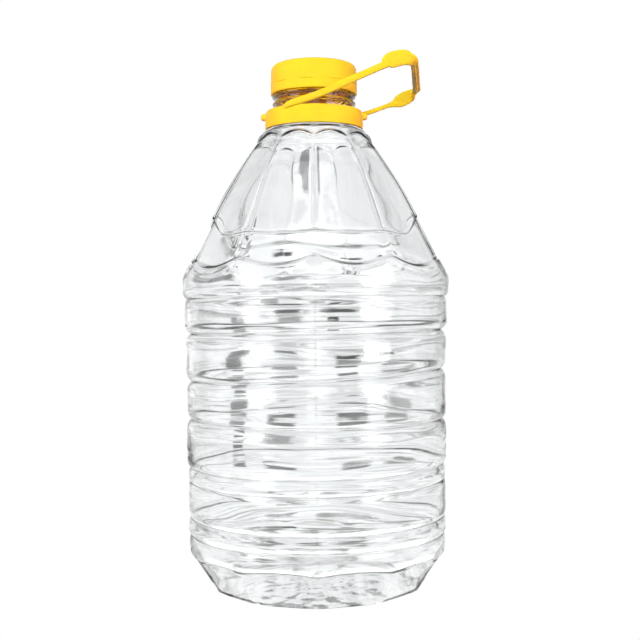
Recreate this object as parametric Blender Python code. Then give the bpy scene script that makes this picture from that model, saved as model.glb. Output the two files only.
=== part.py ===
"""Clear five-litre water jug: a ribbed and fluted bottle, its screw cap and its strap handle.

Lengths are in millimetres and the meshes are made in metres. The jug stands on z = 0 with its
axis on the Z axis. Angles run from the front (-Y) towards the right (+X). The handle leans to +X.
"""
import math

import bmesh
import bpy
from mathutils import Vector

MM = 0.001
SHARP_ANGLE = math.radians(38.0)

# ---- bottle: whole shape ----
SEGMENTS_PER_PETAL = 4
PETALS = 11                      # flutes round the shoulder and round the base
SEGMENTS = PETALS * SEGMENTS_PER_PETAL
WALL = 0.6                       # thickness of the blown wall

# ---- bottle: neck ----
MOUTH_Z = 322.0
MOUTH_EDGE_WIDTH = 0.5           # slope round the outside of the mouth
MOUTH_EDGE_HEIGHT = 0.6
BORE_R = 21.4                    # inside of the neck
THREAD_ROOT_R = 23.4
THREAD_CREST_R = 24.9
THREAD_TOP_Z = 319.6
THREAD_BOTTOM_Z = 308.4
THREAD_PITCH = 5.6
THREAD_ROWS = 8
THREAD_SHARPNESS = 0.8           # 1 is a plain wave, and less is a broader ridge
THREAD_FADE = 1.4                # height over which the ridge fades out at each end
THREAD_MARGIN = 0.2              # plain neck between the mouth's edge and the thread
BEAD_R = 26.1                    # ring that the cap's break-off band catches under
BEAD_Z = 305.0
BEAD_HALF_HEIGHT = 0.4
BEAD_HALF_FOOT = 1.3             # half height where the ring leaves the neck
SUPPORT_R = 26.1                 # ring that keeps the handle's collar down
SUPPORT_Z = 300.4
SUPPORT_HALF_HEIGHT = 0.8
SUPPORT_HALF_FOOT = 1.5
NECK_R = 24.4
NECK_FOOT_Z = 289.5
BORE_FOOT_Z = 287.5
THROAT_FLARE = 5.0               # below its foot the bore widens into the shoulder by this much,
THROAT_HEIGHT = 4.6              # over this height
SEAT_Z = 284.1                   # ledge under the collar
SEAT_R = 28.6
SEAT_EDGE_DROP = 0.4             # the ledge falls this much towards its edge
SEAT_EDGE_R = 30.5

# ---- bottle: shoulder ----
SHOULDER_TOP_Z = 282.9
SHOULDER_TOP_R = 31.8
SHOULDER_BULGE = 4.2             # how far the shoulder's curve stands out of a plain cone
FLUTE_TOP_Z = 276.7              # upper end of the flutes at their ridges
FLUTE_TOP_RISE = 2.9             # the flutes' round upper ends reach this much higher
COVE_HEIGHT = 1.3                # soft turn from the plain top of the shoulder into a flute
COVE_DEPTH = 1.9
FLUTE_END_DEPTH = 3.6
FLUTE_DEPTH = 3.4
FLUTE_ROWS = ((268.0, -0.6), (256.0, 0.0), (242.0, 1.4))    # height and drop
KNEE_Z = 216.4                   # crease where each flute ends, at the front and the back
KNEE_LIFT = 16.0                 # the crease climbs this much towards the two sides
KNEE_SIDE = 0.77                 # share of the half width at which it starts to climb
KNEE_DROP = 2.8
KNEE_HALF_HEIGHT = 1.5
KNEE_DEPTH = 4.4                 # depth of the flutes just above and just below the crease
BELOW_KNEE_DEPTH = 2.6
KNEE_STEP = 0.9                  # the wall steps in by this much under the crease
LOW_FLUTE_Z = 208.5
LOW_FLUTE_DROP = 3.4
LOW_FLUTE_DEPTH = 2.0
STEP_Z = 201.7                   # cusps of the scalloped step below the shoulder
STEP_DROP = 5.2                  # its arcs hang this much lower
STEP_HEIGHT = 0.5
SHOULDER_FOOT_R = 79.4
STEP_R = 80.9

# ---- bottle: body ----
# grooves from the top down: height, radius at the bottom of the groove, slant across X
GROOVES = (
    (178.9, 80.9, 0.3),
    (158.0, 78.4, 0.8),
    (131.4, 78.1, 3.4),
    (104.4, 78.6, -0.4),
    (75.6, 78.8, 0.8),
    (66.6, 79.6, 0.3),
    (48.5, 79.5, 0.0),
    (37.2, 79.5, 0.0),
)
# greatest radius of the round band below each groove, and of the one above the first
TOP_BAND_R = 83.2
BAND_R = (81.9, 81.2, 80.8, 81.0, 80.2, 80.2, 80.3, 80.1)
BAND_EDGE = 0.2                  # share of a band's height that its rounding takes at each end

# ---- bottle: base ----
CREASE_Z = 21.6                  # edge between the body and the base, at the base's ridges
CREASE_RISE = 1.8                # it stands this much higher in the middle of each flute
CREASE_R = 79.8
HEEL_Z = 1.0
HEEL_R = 65.2                    # radius of the ridges just above the floor
HEEL_CURVE = 0.85                # below 1, the heel bulges out of a plain cone
BASE_ROWS = 5
BASE_FLUTE_DEPTH = 2.6
BASE_FLUTE_START = 0.55          # share of the heel's height over which the flutes deepen
FOOT_OUTER_R = 63.6
FOOT_OUTER_DEPTH = 1.6           # the flutes still mark the foot this much
FOOT_INNER_R = 60.0
FOOT_INNER_DEPTH = 1.0
PUSH_UP = 11.0                   # the middle of the bottom stands this high
PUSH_UP_ROWS = 4

# ---- cap ----
CAP_SEGMENTS = 44
CAP_R = 27.1
CAP_TOP_R = 26.7
CAP_TOP_Z = 325.2
CAP_FOOT_Z = 306.3
CAP_FOOT_EDGE = 0.4              # slope round the lower edge
CAP_EDGE = 3.6                   # rounding of the upper edge
CAP_EDGE_STEPS = 4
CAP_WALL = 1.6
CAP_ROOF = 2.9
CAP_INNER_EDGE = 1.0             # slope between the skirt and the roof, inside
BAND_LINE_Z = 311.9              # line where the band breaks off
BAND_LINE_HALF_OUTSIDE = 0.5
BAND_LINE_HALF_INSIDE = 0.35
BAND_LINE_DEPTH = 0.35

# ---- handle ----
COLLAR_SEGMENTS = 44
COLLAR_R = 30.7
COLLAR_WALL = 1.8
COLLAR_FOOT_Z = 284.5
COLLAR_TOP_Z = 295.8
COLLAR_ROOF = 2.0
COLLAR_HOLE_R = 25.0
COLLAR_LIP = 0.6                 # the upper lip is this much smaller than the skirt
COLLAR_LIP_HEIGHT = 2.2
COLLAR_LIP_SLOPE = 0.5
COLLAR_EDGE = 0.7
LUG_REACH = 33.8                 # the two side lugs reach this far from the axis
LUG_Z = 292.8
LUG_HEIGHT = 5.2
LUG_WIDTH = 6.0
STRAP_STEPS = 2                  # stations between two of the strap's key stations
STRAP_SOFTNESS = 0.5             # size of its cut corners, as a share of half its thickness
LUG_STATIONS = ((0.0, 1.0), (0.6, 1.0), (0.9, 0.8), (1.0, 0.5))     # share of length, size

COLOURS = {
    "bottle": ((0.86, 0.89, 0.9, 1.0), 0.04),
    "cap": ((0.93, 0.72, 0.04, 1.0), 0.34),
    "handle": ((0.94, 0.73, 0.04, 1.0), 0.36),
}


def clear_scene():
    """Remove every object of the start-up scene."""
    for thing in list(bpy.data.objects):
        bpy.data.objects.remove(thing, do_unlink=True)


def material(name):
    """Principled material of a piece."""
    colour, roughness = COLOURS[name]
    finish = bpy.data.materials.new(name + "_plastic")
    finish.use_nodes = True
    shader = finish.node_tree.nodes["Principled BSDF"]
    shader.inputs["Base Color"].default_value = colour
    shader.inputs["Roughness"].default_value = roughness
    shader.inputs["Metallic"].default_value = 0.0
    if name == "bottle":
        shader.inputs["Transmission Weight"].default_value = 1.0
        shader.inputs["IOR"].default_value = 1.57
    return finish


def add_object(name, rings, closed):
    """Object from rings of points. Its two ends are joined, or each closed by one face."""
    mesh = bpy.data.meshes.new(name)
    build = bmesh.new()
    rows = [[build.verts.new(Vector(point) * MM) for point in ring] for ring in rings]
    pairs = list(zip(rows, rows[1:]))
    if closed:
        pairs.append((rows[-1], rows[0]))
    for upper, lower in pairs:
        join_rings(build, upper, lower)
    if not closed:
        for row in (rows[0], rows[-1]):
            if len(row) > 1:
                build.faces.new(row)
    bmesh.ops.recalc_face_normals(build, faces=build.faces)
    build.to_mesh(mesh)
    build.free()
    mesh.shade_smooth()
    mesh.set_sharp_from_angle(angle=SHARP_ANGLE)
    piece = bpy.data.objects.new(name, mesh)
    bpy.context.scene.collection.objects.link(piece)
    return piece


def join_rings(build, upper, lower):
    """Faces between two rings; either may be a single point on the axis."""
    count = max(len(upper), len(lower))
    for i in range(count):
        j = (i + 1) % count
        if len(upper) == 1:
            build.faces.new((upper[0], lower[i], lower[j]))
        elif len(lower) == 1:
            build.faces.new((upper[i], lower[0], upper[j]))
        else:
            build.faces.new((upper[i], lower[i], lower[j], upper[j]))


def turned_ring(radius, height, segments):
    """Ring of points round the axis, or the one point on it."""
    if radius == 0.0:
        return [(0.0, 0.0, height)]
    turns = [2.0 * math.pi * i / segments for i in range(segments)]
    return [(radius * math.sin(turn), -radius * math.cos(turn), height) for turn in turns]


# ---------------------------------------------------------------- bottle


def flute(turn):
    """0 on a ridge between two flutes, 1 in the middle of a flute."""
    return abs(math.sin(PETALS * turn / 2.0))


def row(height, radius, slant=0.0, drop=0.0, depth=0.0, lift=0.0):
    """One row of the wall: its height and its radius at the ridges.

    The slant lifts its +X side and lowers its -X side, and the lift raises both of these sides.
    The drop and the depth lower it and pull it in towards the middle of each flute.
    """
    return height, radius, slant, drop, depth, lift


def side_share(turn):
    """0 over the front and the back of the shoulder, rising to 1 at its two sides."""
    share = max(0.0, (abs(math.sin(turn)) - KNEE_SIDE) / (1.0 - KNEE_SIDE))
    return share * share * (3.0 - 2.0 * share)


def row_point(wall_row, turn):
    """Radius and height of a row of the wall at an angle round the axis."""
    height, radius, slant, drop, depth, lift = wall_row
    hollow = flute(turn)
    if lift:
        raised = height + lift * side_share(turn) - drop * hollow
        return shoulder_radius(raised) - radius - depth * hollow, raised
    return radius - depth * hollow, height + slant * math.sin(turn) - drop * hollow


def shoulder_radius(height):
    """Radius of the shoulder's ridges."""
    share = (SHOULDER_TOP_Z - height) / (SHOULDER_TOP_Z - STEP_Z)
    cone = SHOULDER_TOP_R + (SHOULDER_FOOT_R - SHOULDER_TOP_R) * share
    return cone + 4.0 * SHOULDER_BULGE * share * (1.0 - share)


def neck_rows():
    """Neck from the mouth down to the seat of the collar, without the thread."""
    plain = [
        (MOUTH_Z, BORE_R),
        (MOUTH_Z, THREAD_ROOT_R - MOUTH_EDGE_WIDTH),
        (MOUTH_Z - MOUTH_EDGE_HEIGHT, THREAD_ROOT_R),
        (THREAD_TOP_Z + THREAD_MARGIN, THREAD_ROOT_R),
    ]
    below = [
        (BEAD_Z + BEAD_HALF_FOOT, THREAD_ROOT_R),
        (BEAD_Z + BEAD_HALF_HEIGHT, BEAD_R),
        (BEAD_Z - BEAD_HALF_HEIGHT, BEAD_R),
        (BEAD_Z - BEAD_HALF_FOOT, NECK_R),
        (SUPPORT_Z + SUPPORT_HALF_FOOT, NECK_R),
        (SUPPORT_Z + SUPPORT_HALF_HEIGHT, SUPPORT_R),
        (SUPPORT_Z - SUPPORT_HALF_HEIGHT, SUPPORT_R),
        (SUPPORT_Z - SUPPORT_HALF_FOOT, NECK_R),
        (NECK_FOOT_Z, NECK_R),
        (SEAT_Z, SEAT_R),
    ]
    return plain, below


def thread_radius(turn, height):
    """Radius of the neck where the thread winds round it; the ridge fades out at both ends."""
    travel = (THREAD_TOP_Z - height) / THREAD_PITCH - turn / (2.0 * math.pi)
    ridge = max(0.0, math.cos(2.0 * math.pi * travel)) ** THREAD_SHARPNESS
    ends = min(THREAD_TOP_Z - height, height - THREAD_BOTTOM_Z)
    fade = max(0.0, min(1.0, ends / THREAD_FADE))
    return THREAD_ROOT_R + (THREAD_CREST_R - THREAD_ROOT_R) * ridge * fade


def shoulder_rows():
    """Shoulder from the seat of the collar to the scalloped step, top to bottom."""
    cove = FLUTE_TOP_Z + COVE_HEIGHT
    rows = [
        row(SEAT_Z - SEAT_EDGE_DROP, SEAT_EDGE_R),
        row(SHOULDER_TOP_Z, SHOULDER_TOP_R),
        row(cove, shoulder_radius(cove), drop=-FLUTE_TOP_RISE, depth=COVE_DEPTH),
        row(FLUTE_TOP_Z, shoulder_radius(FLUTE_TOP_Z), drop=-FLUTE_TOP_RISE, depth=FLUTE_END_DEPTH),
    ]
    # below their upper ends the flutes run down to the knee with their full depth
    for height, drop in FLUTE_ROWS:
        rows.append(row(height, shoulder_radius(height), drop=drop, depth=FLUTE_DEPTH))
    # the two rows of the crease lie at a stated distance inside the shoulder's curve
    rows += [
        row(KNEE_Z + KNEE_HALF_HEIGHT, 0.0, drop=KNEE_DROP, depth=KNEE_DEPTH, lift=KNEE_LIFT),
        row(KNEE_Z - KNEE_HALF_HEIGHT, KNEE_STEP, drop=KNEE_DROP, depth=BELOW_KNEE_DEPTH,
            lift=KNEE_LIFT),
        row(LOW_FLUTE_Z, shoulder_radius(LOW_FLUTE_Z), drop=LOW_FLUTE_DROP, depth=LOW_FLUTE_DEPTH),
        row(STEP_Z + STEP_HEIGHT, SHOULDER_FOOT_R, drop=STEP_DROP, depth=LOW_FLUTE_DEPTH),
    ]
    return rows


def band_rows(top, bottom, radius):
    """Two rows that round off the band between the grooves above and below it."""
    rows = []
    for share in (BAND_EDGE, 1.0 - BAND_EDGE):
        height, _, slant, drop, _, _ = [a + (b - a) * share for a, b in zip(top, bottom)]
        rows.append(row(height, radius, slant=slant, drop=drop))
    return rows


def body_rows():
    """Body from the scalloped step down to the crease above the base."""
    step = row(STEP_Z, STEP_R, drop=STEP_DROP)
    crease = row(CREASE_Z, CREASE_R, drop=-CREASE_RISE)
    grooves = [row(height, radius, slant=slant) for height, radius, slant in GROOVES]
    edges = [step] + grooves + [crease]
    rows = [step]
    for top, bottom, radius in zip(edges, edges[1:], (TOP_BAND_R,) + BAND_R):
        rows += band_rows(top, bottom, radius)
        rows.append(bottom)
    return rows


def base_rows():
    """Fluted heel from the crease to the foot, then the foot's flat ring."""
    rows = []
    for i in range(1, BASE_ROWS + 1):
        share = i / BASE_ROWS
        height = CREASE_Z + (HEEL_Z - CREASE_Z) * share
        radius = HEEL_R + (CREASE_R - HEEL_R) * (height / CREASE_Z) ** HEEL_CURVE
        deepened = min(share / BASE_FLUTE_START, 1.0)
        depth = BASE_FLUTE_DEPTH * math.sin(math.pi / 2.0 * deepened)
        rows.append(row(height, radius, drop=-CREASE_RISE * (1.0 - share), depth=depth))
    rows.append(row(0.0, FOOT_OUTER_R, depth=FOOT_OUTER_DEPTH))
    rows.append(row(0.0, FOOT_INNER_R, depth=FOOT_INNER_DEPTH))
    return rows


def push_up_rows():
    """Pushed-up bottom inside the foot, without its middle point."""
    rows = []
    for i in range(1, PUSH_UP_ROWS + 1):
        share = i / (PUSH_UP_ROWS + 1)
        rise = PUSH_UP * math.sin(math.pi / 2.0 * share)
        rows.append(row(rise, FOOT_INNER_R * (1.0 - share), depth=FOOT_INNER_DEPTH * (1.0 - share)))
    return rows


def inner_point(before, here, after):
    """Point of the inside, one wall thickness in from an outside point of the same angle."""
    along_r, along_z = after[0] - before[0], after[1] - before[1]
    length = math.hypot(along_r, along_z)
    return here[0] + WALL * along_z / length, here[1] - WALL * along_r / length


def make_bottle():
    """Blown bottle with an open mouth, as one closed wall."""
    turns = [2.0 * math.pi * i / SEGMENTS for i in range(SEGMENTS)]
    mouth, neck = neck_rows()
    thread = [THREAD_TOP_Z + (THREAD_BOTTOM_Z - THREAD_TOP_Z) * (i + 0.5) / THREAD_ROWS
              for i in range(THREAD_ROWS)]
    wall = shoulder_rows() + body_rows() + base_rows() + push_up_rows()
    columns = []
    for turn in turns:
        outside = [(radius, height) for height, radius in mouth]
        outside += [(thread_radius(turn, height), height) for height in thread]
        outside += [(radius, height) for height, radius in neck]
        skin = [row_point(row, turn) for row in wall]
        closing = skin + [(0.0, PUSH_UP)]
        inside = [inner_point(closing[k - 1], closing[k], closing[k + 1])
                  for k in range(1, len(skin))]
        throat = [(BORE_R + THROAT_FLARE, BORE_FOOT_Z - THROAT_HEIGHT), (BORE_R, BORE_FOOT_Z)]
        inside = inside[::-1] + throat
        columns.append((outside + skin, inside))
    outer_rings = rings_of([column[0] for column in columns], turns)
    inner_rings = rings_of([column[1] for column in columns], turns)
    bottom = [[(0.0, 0.0, PUSH_UP)], [(0.0, 0.0, PUSH_UP + WALL)]]
    return outer_rings, inner_rings, bottom


def rings_of(columns, turns):
    """Turn columns of (radius, height), one for each angle, into rings of points."""
    rings = []
    for level in range(len(columns[0])):
        ring = []
        for column, turn in zip(columns, turns):
            radius, height = column[level]
            ring.append((radius * math.sin(turn), -radius * math.cos(turn), height))
        rings.append(ring)
    return rings


def add_bottle():
    """The bottle as an object: outside down to the bottom's middle, inside back to the mouth."""
    outer, inner, (outer_middle, inner_middle) = make_bottle()
    mesh = bpy.data.meshes.new("bottle")
    build = bmesh.new()
    rings = outer + [outer_middle] + [inner_middle] + inner
    rows = [[build.verts.new(Vector(point) * MM) for point in ring] for ring in rings]
    for k, (upper, lower) in enumerate(zip(rows, rows[1:])):
        if k != len(outer):
            join_rings(build, upper, lower)
    join_rings(build, rows[-1], rows[0])
    bmesh.ops.recalc_face_normals(build, faces=build.faces)
    build.to_mesh(mesh)
    build.free()
    mesh.shade_smooth()
    mesh.set_sharp_from_angle(angle=SHARP_ANGLE)
    bottle = bpy.data.objects.new("bottle", mesh)
    bpy.context.scene.collection.objects.link(bottle)
    bottle.data.materials.append(material("bottle"))
    return bottle


# ---------------------------------------------------------------- cap


def add_cap():
    """Screw cap: plain skirt, rounded upper edge and the line of its break-off band."""
    outline = [(0.0, CAP_TOP_Z)]
    for i in range(CAP_EDGE_STEPS + 1):
        bend = math.pi / 2.0 * i / CAP_EDGE_STEPS
        radius = CAP_TOP_R - CAP_EDGE * (1.0 - math.sin(bend))
        outline.append((radius, CAP_TOP_Z - CAP_EDGE * (1.0 - math.cos(bend))))
    outline += [
        (CAP_R, BAND_LINE_Z + BAND_LINE_HALF_OUTSIDE),
        (CAP_R - BAND_LINE_DEPTH, BAND_LINE_Z + BAND_LINE_HALF_INSIDE),
        (CAP_R - BAND_LINE_DEPTH, BAND_LINE_Z - BAND_LINE_HALF_INSIDE),
        (CAP_R, BAND_LINE_Z - BAND_LINE_HALF_OUTSIDE),
        (CAP_R, CAP_FOOT_Z + CAP_FOOT_EDGE),
        (CAP_R - CAP_FOOT_EDGE, CAP_FOOT_Z),
        (CAP_R - CAP_WALL, CAP_FOOT_Z),
        (CAP_R - CAP_WALL, CAP_TOP_Z - CAP_ROOF - CAP_INNER_EDGE),
        (CAP_R - CAP_WALL - CAP_INNER_EDGE, CAP_TOP_Z - CAP_ROOF),
        (0.0, CAP_TOP_Z - CAP_ROOF),
    ]
    rings = [turned_ring(radius, height, CAP_SEGMENTS) for radius, height in outline]
    cap = add_object("cap", rings, closed=False)
    cap.data.materials.append(material("cap"))
    return cap


# ---------------------------------------------------------------- handle


def collar_outline():
    """Section of the collar: a skirt under a flat roof that fits round the neck."""
    inside = COLLAR_R - COLLAR_WALL
    lip = COLLAR_R - COLLAR_LIP
    return [
        (COLLAR_R, COLLAR_FOOT_Z),
        (COLLAR_R, COLLAR_TOP_Z - COLLAR_LIP_HEIGHT),
        (lip, COLLAR_TOP_Z - COLLAR_LIP_HEIGHT + COLLAR_LIP_SLOPE),
        (lip, COLLAR_TOP_Z - COLLAR_EDGE),
        (lip - COLLAR_EDGE, COLLAR_TOP_Z),
        (COLLAR_HOLE_R, COLLAR_TOP_Z),
        (COLLAR_HOLE_R, COLLAR_TOP_Z - COLLAR_ROOF),
        (inside, COLLAR_TOP_Z - COLLAR_ROOF),
        (inside, COLLAR_FOOT_Z),
    ]


# key stations of the strap: place, direction across its flat face, width, thickness
STRAP = (
    # near arm, out of the collar's front and up to the right
    ((-17.6, -23.6, 294.6), (0.0, 0.0, 1.0), 3.0, 2.4),
    ((-14.6, -26.4, 296.1), (0.0, 0.0, 1.0), 3.8, 2.6),
    ((-8.0, -28.8, 297.8), (-0.2, 0.0, 1.0), 4.0, 2.6),
    ((0.0, -29.7, 300.2), (-0.4, 0.0, 0.9), 4.0, 2.5),
    ((20.0, -29.6, 309.0), (-0.4, 0.0, 0.9), 4.1, 2.4),
    ((38.0, -29.2, 316.7), (-0.4, 0.0, 0.9), 4.1, 2.3),
    # near finger pad
    ((41.6, -29.2, 318.6), (-0.3, 0.0, 1.0), 5.4, 2.2),
    ((43.6, -29.2, 320.1), (-0.2, 0.0, 1.0), 8.0, 2.2),
    ((47.0, -29.2, 321.5), (-0.1, 0.0, 1.0), 9.8, 2.3),
    ((52.4, -29.2, 322.8), (0.0, 0.0, 1.0), 9.8, 2.4),
    ((56.4, -28.9, 322.8), (0.1, 0.0, 1.0), 8.8, 2.5),
    # grip from the near pad to the far pad
    ((59.8, -27.2, 321.8), (0.4, -0.3, 0.9), 6.8, 2.7),
    ((61.5, -22.4, 320.6), (1.0, -0.1, 0.1), 4.9, 2.8),
    ((64.2, 0.0, 317.2), (1.0, 0.0, 0.0), 4.7, 2.8),
    ((66.6, 21.4, 314.4), (1.0, 0.1, 0.1), 5.0, 2.8),
    ((66.2, 26.4, 313.6), (0.6, 0.4, 0.7), 6.0, 2.8),
    # far finger pad
    ((63.4, 29.0, 312.0), (-0.3, 0.0, 0.9), 7.8, 2.6),
    ((59.4, 29.4, 309.9), (-0.4, 0.0, 0.9), 8.8, 2.4),
    ((55.6, 29.4, 308.0), (-0.4, 0.0, 0.9), 8.0, 2.3),
    ((52.0, 29.4, 306.4), (-0.4, 0.0, 0.9), 4.4, 2.2),
    # far arm, back to the collar
    ((48.6, 29.4, 305.4), (-0.4, 0.0, 0.9), 2.9, 2.2),
    ((35.3, 29.9, 300.9), (-0.3, 0.0, 1.0), 2.9, 2.2),
    ((18.0, 30.4, 296.2), (-0.2, 0.0, 1.0), 3.2, 2.2),
    ((0.0, 29.9, 293.2), (0.0, 0.0, 1.0), 3.6, 2.2),
    ((-14.2, 26.1, 292.2), (0.0, 0.0, 1.0), 3.2, 2.0),
)
# rib under the grip: place of its two ends
RIB_ENDS = ((61.8, -21.5, 319.0), (66.6, 21.4, 312.8))
RIB_WIDTH = 1.7
RIB_HEIGHT = 2.4


def blend(before, start, end, after, share):
    """Smooth curve through start and end, for numbers or vectors."""
    rise_start = (end - before) * 0.5
    rise_end = (after - start) * 0.5
    square, cube = share * share, share * share * share
    return (start * (2.0 * cube - 3.0 * square + 1.0) + rise_start * (cube - 2.0 * square + share)
            + end * (3.0 * square - 2.0 * cube) + rise_end * (cube - square))


def strap_stations():
    """Stations along the whole strap, read from a smooth curve through its key stations."""
    keys = [(Vector(place), Vector(across), width, thick) for place, across, width, thick in STRAP]
    padded = [keys[0]] + keys + [keys[-1]]
    stations = []
    for k in range(1, len(padded) - 2):
        group = padded[k - 1:k + 3]
        for i in range(STRAP_STEPS):
            share = i / STRAP_STEPS
            stations.append([blend(*(key[part] for key in group), share) for part in range(4)])
    stations.append(list(keys[-1]))
    return stations


def strap_rings(stations):
    """Rounded-rectangle sections along the stations."""
    rings = []
    for k, (place, across, width, thick) in enumerate(stations):
        before = stations[max(k - 1, 0)][0]
        after = stations[min(k + 1, len(stations) - 1)][0]
        along = (after - before).normalized()
        across = (across - along * across.dot(along)).normalized()
        out = along.cross(across)
        half_w, half_t = width / 2.0, thick / 2.0
        soft = min(half_w, half_t) * STRAP_SOFTNESS
        corners = ((half_w, half_t - soft), (half_w - soft, half_t),
                   (soft - half_w, half_t), (-half_w, half_t - soft),
                   (-half_w, soft - half_t), (soft - half_w, -half_t),
                   (half_w - soft, -half_t), (half_w, soft - half_t))
        rings.append([tuple(place + across * a + out * b) for a, b in corners])
    return rings


def add_lug(name, side):
    """Round-edged lug on the side of the collar."""
    start = (COLLAR_R - 1.0) * side
    end = LUG_REACH * side
    across = Vector((0.0, 1.0, 0.0))
    stations = []
    for share, size in LUG_STATIONS:
        place = Vector((start + (end - start) * share, 0.0, LUG_Z))
        stations.append([place, across, LUG_WIDTH * size, LUG_HEIGHT * size])
    return add_object(name, strap_rings(stations), closed=False)


def add_handle():
    """Collar, two lugs, strap and the grip's rib, fused into one moulding."""
    outline = collar_outline()
    rings = [turned_ring(radius, height, COLLAR_SEGMENTS) for radius, height in outline]
    handle = add_object("handle", rings, closed=True)
    rib = [[Vector(place), Vector((1.0, 0.0, 0.0)), RIB_WIDTH, RIB_HEIGHT] for place in RIB_ENDS]
    additions = [
        add_object("strap", strap_rings(strap_stations()), closed=False),
        add_object("rib", strap_rings(rib), closed=False),
        add_lug("left_lug", -1.0),
        add_lug("right_lug", 1.0),
    ]
    extras = bpy.data.collections.new("handle_additions")
    bpy.context.scene.collection.children.link(extras)
    for piece in additions:
        bpy.context.scene.collection.objects.unlink(piece)
        extras.objects.link(piece)
    union = handle.modifiers.new("fuse", "BOOLEAN")
    union.operation = "UNION"
    union.operand_type = "COLLECTION"
    union.collection = extras
    union.solver = "EXACT"
    bpy.context.view_layer.update()
    evaluated = handle.evaluated_get(bpy.context.evaluated_depsgraph_get())
    fused = bpy.data.meshes.new_from_object(evaluated)
    handle.modifiers.remove(union)
    handle.data = fused
    handle.data.name = "handle"
    for piece in additions:
        bpy.data.objects.remove(piece, do_unlink=True)
    bpy.data.collections.remove(extras)
    handle.data.materials.clear()
    handle.data.materials.append(material("handle"))
    handle.data.shade_smooth()
    handle.data.set_sharp_from_angle(angle=SHARP_ANGLE)
    return handle


clear_scene()
add_bottle()
add_cap()
add_handle()
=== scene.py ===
import math

import bmesh
import bpy
import numpy as np
from mathutils import Matrix, Vector


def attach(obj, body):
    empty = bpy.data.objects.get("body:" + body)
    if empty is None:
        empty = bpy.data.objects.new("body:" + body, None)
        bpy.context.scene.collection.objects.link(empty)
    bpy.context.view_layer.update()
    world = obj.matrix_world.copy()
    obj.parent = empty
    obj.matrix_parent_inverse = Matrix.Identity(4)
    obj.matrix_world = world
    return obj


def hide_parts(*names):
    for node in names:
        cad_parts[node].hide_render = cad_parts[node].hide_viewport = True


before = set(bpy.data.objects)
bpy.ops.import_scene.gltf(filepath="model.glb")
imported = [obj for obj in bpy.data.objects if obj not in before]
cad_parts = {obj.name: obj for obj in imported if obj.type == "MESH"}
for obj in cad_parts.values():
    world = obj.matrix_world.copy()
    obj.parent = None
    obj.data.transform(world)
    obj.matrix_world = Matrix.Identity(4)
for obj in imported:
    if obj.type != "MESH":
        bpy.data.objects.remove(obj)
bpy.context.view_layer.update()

# ---- bottle ---------------------------------------------------------------------------------
# The clear five-litre bottle is one thin glassy wall of PET, blown out in a mould from a short
# thick preform, and thicker next to the neck. The neck carries a screw thread, the shoulder and
# the heel are fluted, and grooves ring the body.

MM = 0.001                      # the sizes below are millimetres, the scene is in metres
PETALS = 11                     # flutes round the shoulder and round the heel
TURNS = PETALS * 16             # columns of the wall
WALL = 0.55
THICKER = 0.9                   # more wall than that next to the neck
THICKER_Z = 270.0               # where the wall starts to thicken, and over what height it does
THICKER_RISE = 10.0

MOUTH_Z = 322.0
BORE_R = 21.4
THREAD_ROOT_R = 23.4
THREAD_CREST_R = 24.9
THREAD_TOP_Z = 319.6
THREAD_BOTTOM_Z = 308.4
THREAD_PITCH = 5.6
THREAD_FADE = 1.4               # height in which the thread runs out at its two ends
BEAD_Z = 305.0
SUPPORT_Z = 300.4
RING_R = 26.1                   # bead and support ring
NECK_R = 24.4
SEAT_Z = 284.1                  # level under the collar
COLLAR_SEAT_R = 30.5
# inside of the neck, from the shoulder up
THROAT = ((26.4, 282.9), (24.6, 284.6), (22.6, 286.2), (BORE_R, 288.6), (BORE_R, 300.0),
          (BORE_R, 312.0))

SHOULDER_TOP_Z = 282.9
SHOULDER_TOP_R = 31.8
SHOULDER_FOOT_R = 79.4
SHOULDER_BULGE = 4.2
COVE_RISE = 1.6                 # small cove that ends each flute at its top
COVE_DEPTH = 1.6
FLUTE_TOP_Z = 275.0
FLUTE_TOP_RISE = 2.9
FLUTE_TOP_DEPTH = 3.9
FLUTE_DEPTH = 3.4
# heights down a flute, and how much lower its middle lies
FLUTE_LINES = ((268.0, -0.6), (256.0, 0.0), (242.0, 1.4))
KNEE_Z = 216.4                  # level crease low on the shoulder
KNEE_LIFT = 16.0                # how far it climbs at the two sides
KNEE_SIDE = 0.77                # how far out it starts to climb, as a share of the half width
KNEE_DROP = 0.8
KNEE_HALF = 0.3                 # half the crease's height
KNEE_NOTCH = 0.9
KNEE_DEPTH = 4.4                # of a flute, above and below the crease
KNEE_LOW_DEPTH = 4.0
SKIRT_Z = 208.5                 # between the crease and the step
SKIRT_DROP = 3.4
SKIRT_DEPTH = 2.0
STEP_Z = 201.7
STEP_DROP = 5.2
STEP_R = 80.9

# grooves round the body from the top down: height, radius at the bottom, slant across X, reach
GROOVES = (
    (178.9, 80.9, 0.3, 4.0), (158.0, 78.4, 0.8, 4.6), (131.4, 78.1, 3.4, 5.0),
    (104.4, 78.6, -0.4, 5.0), (75.6, 78.8, 0.8, 3.4), (66.6, 79.4, 0.3, 2.6),
    (44.0, 78.8, 0.0, 3.2), (33.6, 78.9, 0.0, 3.2),
)
BAND_R = (83.2, 81.9, 81.2, 80.8, 81.0, 80.2, 80.2, 80.3, 79.9)
BAND_TURN = 1.9                 # how sharply a band turns into a groove
STEP_REACH = 5.6                # rounding below the step and above the crease

CREASE_Z = 21.6
CREASE_RISE = 1.8
CREASE_R = 79.6
HEEL_R = 65.2
HEEL_FOOT_Z = 1.0
BASE_FLUTE_DEPTH = 2.6
FOOT_EDGE_R = 64.6
FOOT_OUTER_R = 63.6
FOOT_INNER_R = 60.0
PUSH_UP = 11.0
BOTTOM_Z = 0.3                  # rim of the pushed-up bottom, outside and inside
BOTTOM_INSIDE_Z = 0.9

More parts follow.
